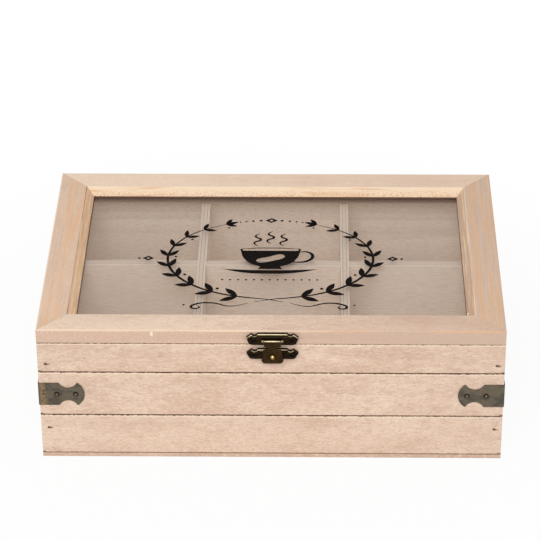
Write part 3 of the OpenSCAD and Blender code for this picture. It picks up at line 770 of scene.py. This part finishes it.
def soften(piece, width, segments):
    """Rounds the edges of the active piece by a bevel that is applied."""
    edges = piece.modifiers.new("edges", "BEVEL")
    edges.width = width
    edges.segments = segments
    edges.limit_method = "ANGLE"
    edges.angle_limit = ROUNDED_FROM
    bpy.ops.object.modifier_apply(modifier="edges")


def round_rim(piece, width, sharp):
    """Bevels the outer front edges of a latch plate, apart from those in the boxes of sharp."""
    def outward(face):
        return face.normal.y < -0.99

    places = [vertex.co for vertex in piece.data.vertices]
    fronts = [face for face in piece.data.polygons if outward(face)]
    front = max(fronts, key=lambda face: face.area).center.y
    sides = {}
    for face in piece.data.polygons:
        for key in face.edge_keys:
            sides.setdefault(key, []).append(outward(face))
    bpy.context.tool_settings.mesh_select_mode = (False, True, False)
    for edge in piece.data.edges:
        middle = (places[edge.vertices[0]] + places[edge.vertices[1]]) / 2
        flush = all(abs(places[number].y - front) < 0.01 * MM for number in edge.vertices)
        spared = any(
            abs(middle.x * IN_MM - x) < half_x and abs(middle.z * IN_MM - z) < half_z
            for x, z, half_x, half_z in sharp)
        edge.select = flush and not spared and sorted(sides[edge.key]) == [False, True]
    bpy.ops.object.mode_set(mode="EDIT")
    bpy.ops.mesh.bevel(offset=width, segments=2, affect="EDGES", clamp_overlap=False)
    bpy.ops.mesh.select_all(action="DESELECT")
    bpy.ops.object.mode_set(mode="OBJECT")


def dress(node, material, body, width, segments=2, sharp=()):
    """Stands a softened copy in for a CAD node, with its finish."""
    piece = plain_copy(node, node + "_finished")
    if sharp:
        round_rim(piece, width, sharp)
    else:
        soften(piece, width, segments)
    bpy.ops.object.shade_smooth_by_angle(angle=SMOOTH_BELOW)
    piece.data.materials.append(material)
    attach(piece, body)
    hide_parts(node)


def repaint(node, material):
    """Gives a CAD node, whose shape stays, another material."""
    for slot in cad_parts[node].material_slots:
        slot.material = material


# ---- Wood and glass ----


class TEABOX_OT_walls(bpy.types.Operator):
    """Finish the twelve wall slats and the bottom board"""

    bl_idname = "tea_box.walls"
    bl_label = "Walls and Bottom"

    def execute(self, context):
        edge = looks("wood").soft_edge
        for row, height in enumerate(("bottom", "middle", "top")):
            for turn, (side, axis, outside) in enumerate(SIDES):
                node = f"{side}_slat_{height}"
                material = slat_finish(node, axis, outside, 31.0 * (row + 1) + 113.0 * turn)
                dress(node, material, "box", edge)
        dress("bottom_board", board_finish("bottom_board", 17.0), "box", edge)
        return {"FINISHED"}


class TEABOX_OT_dividers(bpy.types.Operator):
    """Finish the long divider and the two cross dividers"""

    bl_idname = "tea_box.dividers"
    bl_label = "Dividers"

    def execute(self, context):
        for turn, (node, axis) in enumerate((
                ("long_divider", X), ("cross_divider_left", Y), ("cross_divider_right", Y))):
            material = ply_finish(node, axis, 211.0 + 37.0 * turn)
            dress(node, material, "box", looks("wood").soft_edge, segments=1)
        return {"FINISHED"}


class TEABOX_OT_lid_frame(bpy.types.Operator):
    """Finish the four mitred rails of the lid"""

    bl_idname = "tea_box.lid_frame"
    bl_label = "Lid Frame"

    def execute(self, context):
        for turn, (side, axis, outside) in enumerate(SIDES):
            node = "lid_rail_" + side
            material = rail_finish(node, axis, outside, 419.0 + 61.0 * turn)
            dress(node, material, "lid", looks("wood").soft_edge)
        return {"FINISHED"}


class TEABOX_OT_window(bpy.types.Operator):
    """Glaze the lid and print its ornament"""

    bl_idname = "tea_box.window"
    bl_label = "Window and Print"

    def execute(self, context):
        repaint("glass_pane", glass_finish())
        pieces = print_wreath() + print_cup() + print_border()
        for piece in pieces:
            piece.select_set(True)
        ornament = pieces[0]
        context.view_layer.objects.active = ornament
        bpy.ops.object.transform_apply(location=True, rotation=True, scale=True)
        bpy.ops.object.join()
        ornament.name = ornament.data.name = "window_print"
        low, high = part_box("glass_pane")
        bpy.ops.transform.translate(value=(
            (low[X] + high[X]) / 2 + PRINT_OFFSET[X] * MM,
            (low[Y] + high[Y]) / 2 + PRINT_OFFSET[Y] * MM,
            high[Z] + looks("print").ink_height / 2))
        bpy.ops.object.transform_apply(location=True, rotation=True, scale=True)
        ornament.data.materials.clear()
        ornament.data.materials.append(ink_finish())
        bpy.ops.object.select_all(action="DESELECT")
        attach(ornament, "lid")
        return {"FINISHED"}


# ---- Shapes of the print, with their points in millimetres ----


def curve_through(points, closed, corners=()):
    """A flat curve through points; it turns sharply at the corners named by number."""
    bpy.ops.object.select_all(action="DESELECT")
    if closed:
        bpy.ops.curve.primitive_bezier_circle_add()
    else:
        bpy.ops.curve.primitive_bezier_curve_add()
    curve = bpy.context.object
    curve.data.dimensions = "2D"
    curve.data.resolution_u = 5
    lay_points(curve.data.splines[0], points, corners)
    return curve


def lay_points(spline, points, corners=()):
    """Leads a spline through points, with added ones where it has too few."""
    spline.bezier_points.add(len(points) - len(spline.bezier_points))
    for number, (place, knot) in enumerate(zip(points, spline.bezier_points)):
        knot.co = (place[X] * MM, place[Y] * MM, 0)
        knot.handle_left_type = knot.handle_right_type = "VECTOR" if number in corners else "AUTO"


def to_mesh(curve):
    bpy.ops.object.convert(target="MESH")
    bpy.ops.object.select_all(action="DESELECT")
    return curve


def patch(points, corners=(), holes=()):
    """A filled shape of ink with holes, each hole a list of points."""
    curve = curve_through(points, True, corners)
    for hole in holes:
        spline = curve.data.splines.new("BEZIER")
        lay_points(spline, hole)
        spline.use_cyclic_u = True
    curve.data.fill_mode = "BOTH"
    curve.data.extrude = looks("print").ink_height / 2
    return to_mesh(curve)


def stroke(points, width):
    """A pen stroke of ink, thickest in the middle and pointed at its ends."""
    curve = curve_through(points, False)
    curve.data.dimensions = "3D"
    curve.data.bevel_depth = width * MM / 2
    curve.data.bevel_resolution = 1
    curve.data.use_fill_caps = True
    knots = curve.data.splines[0].bezier_points
    for number, knot in enumerate(knots):
        knot.radius = 0.25 + 0.75 * sin(pi * number / (len(knots) - 1))
    curve.scale.z = looks("print").ink_height / (width * MM)
    return to_mesh(curve)


def on_oval(angle, wide, deep):
    return (wide * cos(angle), deep * sin(angle))


def ring(centre, wide, deep, count=4):
    """Points of a round or oval hole or patch."""
    spots = [on_oval(2 * pi * i / count, wide, deep) for i in range(count)]
    return [(centre[X] + spot[X], centre[Y] + spot[Y]) for spot in spots]


def stamp(source, place, turn=0.0, size=1.0):
    """A copy of a shape, with its own mesh, at a place."""
    copy = source.copy()
    copy.data = source.data.copy()
    bpy.context.scene.collection.objects.link(copy)
    copy.location = (place[X] * MM, place[Y] * MM, 0)
    copy.rotation_euler.z = turn
    copy.scale = (size, size, 1)
    return copy


def remove(*sources):
    """Takes away the shapes that were only there to be copied."""
    for source in sources:
        bpy.data.objects.remove(source)


def wreath_size():
    look = looks("print")
    return look.wreath_width * IN_MM, look.wreath_depth * IN_MM


def leaf_shape():
    """A pointed leaf along X."""
    length = looks("print").leaf_length * IN_MM
    half = 0.17 * length
    return patch([
        (0, 0), (0.28 * length, 0.8 * half), (0.55 * length, half), (0.84 * length, 0.5 * half),
        (length, 0),
        (0.84 * length, -0.5 * half), (0.55 * length, -half), (0.28 * length, -0.8 * half),
    ], (0, 4))


def print_wreath():
    """Two leafy branches that rise from a tie at the bottom and leave the top open."""
    wide, deep = wreath_size()
    leaf = leaf_shape()
    berry = patch(ring((0, 0), 0.95, 0.95))
    first, last = radians(-78), radians(63)
    stem_parts, leaf_pairs, lean = 8, 10, radians(38)
    shapes = []
    for side in (1, -1):
        stem = [
            on_oval(first + (last - first) * i / stem_parts, side * wide, deep)
            for i in range(stem_parts + 1)
        ]
        tail = [(-side * 7.5, -deep - 3.2), (side * 3.0, -deep - 0.4)]
        shapes.append(stroke(tail + stem, 1.5))
        for pair in range(leaf_pairs):
            share = pair / (leaf_pairs - 1)
            angle = first + (last - first) * (0.04 + 0.96 * share)
            place = on_oval(angle, side * wide, deep)
            heading = atan2(deep * cos(angle), -side * wide * sin(angle))
            size = 1.0 - 0.36 * share
            shapes.append(stamp(leaf, place, heading + lean, size))
            shapes.append(stamp(leaf, place, heading - lean, size))
            if pair % 2:
                shapes.append(stamp(berry, (place[X] * 0.925, place[Y] * 0.9), 0.0, size))
        heading = atan2(deep * cos(last), -side * wide * sin(last))
        shapes.append(stamp(leaf, on_oval(last, side * wide, deep), heading, 0.7))
    remove(leaf, berry)
    return shapes


def print_cup():
    """A steaming cup on its saucer, with a leaf left bare on the bowl."""
    bowl = [
        (-16, 8), (-14.6, 1.2), (-10.6, -5), (-5.2, -8.2), (-6.6, -10.6),
        (6.6, -10.6), (5.2, -8.2), (10.6, -5), (14.6, 1.2), (16, 8),
    ]
    bare_leaf = [(-7.5, -2.6), (-1.5, 1.6), (7.5, 3.2), (1.5, -2.2)]
    handle = [(14.4, 6.2), (19.5, 7.0), (22.6, 3.4), (20.6, -1.8), (15.5, -3.6), (11.6, -3.0)]
    saucer = [(-25, -10.9), (-14, -14.4), (0, -15.4), (14, -14.4), (25, -10.9), (0, -12.0)]
    wisp = [(0, 13), (-2.0, 16.2), (1.6, 19.6), (-1.4, 23), (0.8, 26)]
    shapes = [
        patch(bowl, (0, 3, 4, 5, 6, 9), [bare_leaf]),
        patch(ring((0, 8.9), 16.4, 2.3, 8), (), [ring((0, 9.0), 15.2, 1.5, 8)]),
        patch(saucer, (0, 4)),
        stroke(handle, 1.9),
    ]
    for shift, lift in ((-7.0, 0.0), (0.0, 2.4), (7.0, 0.0)):
        shapes.append(stroke([(x + shift, y + lift) for x, y in wisp], 1.5))
    return shapes


def print_border():
    """Lozenges, dots and pen flourishes round the wreath."""
    wide, deep = wreath_size()
    lozenge = patch(
        [(-2.6, 0), (0, 2.0), (2.6, 0), (0, -2.0)], (0, 1, 2, 3), [ring((0, 0), 0.7, 0.7)])
    dot = patch(ring((0, 0), 0.75, 0.75))
    flourish = (
        (11, -4.6), (20, -7.6), (30, -4.4), (38, -5.6), (40.6, -8.4), (38.2, -10.0),
        (36.2, -8.4), (37.6, -7.2))
    shapes = [stamp(lozenge, (0, deep), 0.0, 1.3)]
    for side in (1, -1):
        for step, degrees_off in enumerate((6.0, 10.5, 14.5, 18.0)):
            place = on_oval(pi / 2 - side * radians(degrees_off), wide, deep)
            shapes.append(stamp(dot, place, 0.0, 1.15 - 0.15 * step))
        shapes.append(stamp(lozenge, (side * (wide + 10.5), 0), 0.0, 1.2))
        shapes.append(stamp(dot, (side * (wide + 15.3), 0)))
        shapes.append(stroke([(side * x, y - deep) for x, y in flourish], 1.4))
        shapes.append(stamp(dot, (side * 44.5, -deep - 6.4), 0.0, 0.8))
    for i in range(-6, 7):
        shapes.append(stamp(dot, (i * 4.2, -21.5), 0.0, 0.85))
    remove(lozenge, dot)
    return shapes


# ---- Metal ----


class TEABOX_OT_straps(bpy.types.Operator):
    """Finish the four corner straps and their pins"""

    bl_idname = "tea_box.straps"
    bl_label = "Corner Straps"

    def execute(self, context):
        for turn, (end_name, end) in enumerate((("front", -1), ("back", 1))):
            for side_name, side in (("left", -1), ("right", 1)):
                node = f"corner_strap_{end_name}_{side_name}"
                material = strap_finish(node, side, end, 23.0 + 41.0 * turn + 17.0 * side)
                dress(node, material, "box", looks("metal").strap_edge)
        dress("strap_pins", pin_finish(), "box", PIN_EDGE, segments=1)
        return {"FINISHED"}


class TEABOX_OT_latch(bpy.types.Operator):
    """Finish the two latch plates, the tongue, the stud, the pin and the screws"""

    bl_idname = "tea_box.latch"
    bl_label = "Latch"

    def execute(self, context):
        edge = looks("metal").latch_edge
        for node, body, width, worn_and_lit, umber, narrow in (
                ("latch_lid_plate", "lid", edge, 0.70, 0.1, 0.0),
                ("latch_keeper_plate", "box", edge, 1.0, 0.1, 0.0),
                ("latch_tongue", "latch_tongue", edge * 0.5, 0.70, 0.7, 0.26),
                ("latch_lid_screws", "lid", FINE_EDGE, 0.0, 0.0, 0.0),
                ("latch_keeper_screws", "box", FINE_EDGE, 0.0, 0.0, 0.0)):
            material = bronze_finish(node, 3.0 * width * IN_MM, worn_and_lit, umber, narrow)
            dress(node, material, body, width, sharp=SHARP.get(node, ()))
        for node, body, lit_crown in (("latch_stud", "box", 1.0), ("latch_pin", "lid", 0.0)):
            dress(node, brass_finish(node, 9.0, lit_crown), body, FINE_EDGE)
        return {"FINISHED"}


class TEABOX_OT_hinges(bpy.types.Operator):
    """Finish the two butt hinges, their pins and screws"""

    bl_idname = "tea_box.hinges"
    bl_label = "Hinges"

    def execute(self, context):
        for body in ("box", "lid"):
            for side in ("left", "right"):
                node = f"hinge_{body}_leaf_{side}"
                dress(node, bronze_finish(node, 19.0, 0.3), body, HINGE_EDGE)
            node = f"hinge_{body}_screws"
            dress(node, bronze_finish(node, 29.0, 0.3), body, HINGE_EDGE)
        for node in ("hinge_pin_left", "hinge_pin_right"):
            dress(node, bronze_finish(node, 33.0, 0.6), "box", HINGE_EDGE)
        return {"FINISHED"}


class TEABOX_OT_nails(bpy.types.Operator):
    """Finish the nails of the walls, the bottom and the lid"""

    bl_idname = "tea_box.nails"
    bl_label = "Nails"

    def execute(self, context):
        material = nail_finish()
        for node in ("wall_nails", "bottom_nails", "lid_nails"):
            repaint(node, material)
        return {"FINISHED"}


# ---- Stage ----


class TEABOX_OT_stage(bpy.types.Operator):
    """Set up the floor, the lamp, the white surroundings and the camera"""

    bl_idname = "tea_box.stage"
    bl_label = "Stage"

    def execute(self, context):
        stage = looks("stage")
        bpy.ops.object.select_all(action="DESELECT")
        bpy.ops.mesh.primitive_plane_add(size=FLOOR_SIZE, location=(0, 0, -FLOOR_GAP * MM))
        floor = context.object
        floor.name = "floor"
        floor.data.materials.append(floor_finish())
        white_world(stage.sky)
        bpy.ops.object.light_add(type="AREA", location=KEY_PLACE)
        key = context.object
        key.name = "key_lamp"
        key.data.shape = "SQUARE"
        key.data.size = KEY_SIZE
        key.data.energy = stage.key
        towards = Vector(KEY_AIM) - key.location
        key.rotation_euler = towards.to_track_quat("-Z", "Y").to_euler()
        bpy.ops.object.camera_add()
        camera = context.object
        camera.name = "camera"
        camera.data.lens = stage.lens
        camera.data.sensor_width = SENSOR_WIDTH_MM
        camera.data.clip_start = NEAREST_SEEN
        back = Vector((
            sin(stage.azimuth) * cos(stage.elevation),
            -cos(stage.azimuth) * cos(stage.elevation),
            sin(stage.elevation)))
        camera.matrix_world = (
            Matrix.Translation(Vector(stage.target) + back * stage.distance)
            @ Euler((pi / 2 - stage.elevation, 0, stage.azimuth)).to_matrix().to_4x4()
            @ Matrix.Rotation(stage.roll, 4, "Z"))
        context.scene.camera = camera
        context.scene.view_settings.view_transform = "Standard"
        return {"FINISHED"}


def floor_finish():
    """White to the eye, with the box's soft shadow, and clear from below."""
    finish = Finish("floor_white")
    share = finish.seen() * (0.92 + 0.08 * finish.length(finish.place).step(140.0, 300.0))
    glow = finish.node("ShaderNodeEmission", inputs={"Color": (1, 1, 1), "Strength": 1.0})
    matt = finish.node("ShaderNodeBsdfDiffuse", inputs={"Color": (0.92, 0.92, 0.92)})
    clear = finish.node("ShaderNodeBsdfTransparent")
    under = finish.node("ShaderNodeNewGeometry", output="Backfacing")
    upper = finish.node("ShaderNodeMixShader", inputs={0: share, 1: matt, 2: glow})
    both = finish.node("ShaderNodeMixShader", inputs={0: under, 1: upper, 2: clear})
    finish.feed(finish.tree.nodes["Material Output"].inputs["Surface"], both)
    return finish.material


def white_world(strength):
    """White to the eye, and plain light of this strength on the box."""
    world = bpy.data.worlds.new("white_world")
    bpy.context.scene.world = world
    world.use_nodes = True
    nodes = NodeTree(world.node_tree)
    background = nodes.tree.nodes["Background"]
    nodes.feed(background.inputs["Color"], (1, 1, 1))
    nodes.feed(background.inputs["Strength"], strength + nodes.seen() * (1.0 - strength))


# ---- Panel and run ----


class TEABOX_PT_panel(bpy.types.Panel):
    """Lists the steps that build the tea box"""

    bl_label = "Tea Box"
    bl_idname = "TEABOX_PT_panel"
    bl_space_type = "VIEW_3D"
    bl_region_type = "UI"
    bl_category = "Tea Box"

    def draw(self, context):
        for step in STEPS:
            self.layout.operator(step.bl_idname)


GROUPS = {
    "tea_box_wood": TeaBoxWood,
    "tea_box_metal": TeaBoxMetal,
    "tea_box_print": TeaBoxPrint,
    "tea_box_stage": TeaBoxStage,
}
STEPS = (
    TEABOX_OT_stage, TEABOX_OT_walls, TEABOX_OT_dividers, TEABOX_OT_lid_frame, TEABOX_OT_window,
    TEABOX_OT_straps, TEABOX_OT_latch, TEABOX_OT_hinges, TEABOX_OT_nails,
)


def register():
    for group in GROUPS.values():
        bpy.utils.register_class(group)
    for step in (*STEPS, TEABOX_PT_panel):
        bpy.utils.register_class(step)
    for name, group in GROUPS.items():
        setattr(bpy.types.Scene, name, PointerProperty(type=group))


def unregister():
    for name in GROUPS:
        delattr(bpy.types.Scene, name)
    for step in (TEABOX_PT_panel, *reversed(STEPS)):
        bpy.utils.unregister_class(step)
    for group in GROUPS.values():
        bpy.utils.unregister_class(group)


def main():
    """Builds the look step by step."""
    register()
    for step in STEPS:
        category, name = step.bl_idname.split(".")
        getattr(getattr(bpy.ops, category), name)()


if __name__ == "__main__":
    main()
